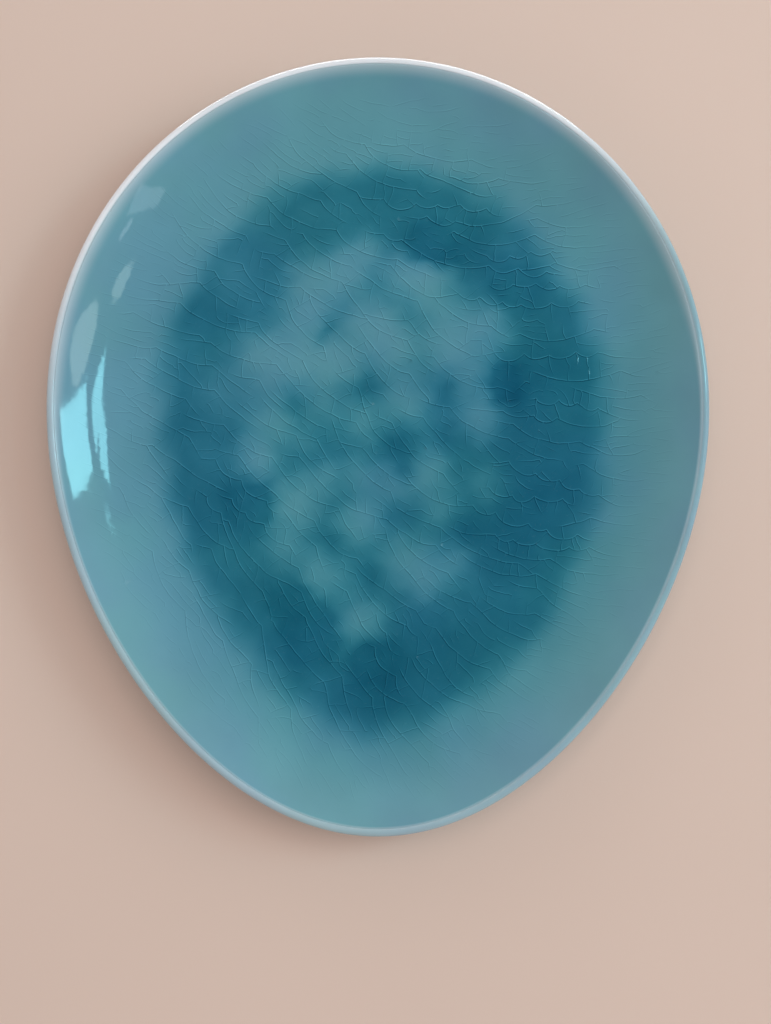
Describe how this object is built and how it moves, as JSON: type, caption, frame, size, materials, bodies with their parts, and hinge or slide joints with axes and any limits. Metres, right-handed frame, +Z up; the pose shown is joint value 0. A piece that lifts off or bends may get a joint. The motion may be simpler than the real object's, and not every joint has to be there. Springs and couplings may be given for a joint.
{
  "type": "dinner plate",
  "caption": "Egg-shaped coupe dinner plate: a shallow clay dish with a rolled lip, a low foot ring and a pooled crackle glaze, made to hold food or to stand on display.",
  "frame": {"origin": "on the table under the middle of the plate's length and width, with the plate lying on its foot ring", "axes": "+Z up out of the eating face, +Y towards the broad end of the egg outline, +X to the right seen from above with +Y away"},
  "size_m": [0.2372, 0.28, 0.025],
  "materials": {
    "clay": "matte",
    "face_glaze": "gloss",
    "lip_glaze": "gloss",
    "back_glaze": "gloss"
  },
  "bodies": {
    "root": {"clay_body": "clay", "foot_ring": "clay", "face_glaze": "face_glaze", "lip_glaze": "lip_glaze", "back_glaze": "back_glaze", "foot_well_glaze": "back_glaze"}
  },
  "joints": []
}
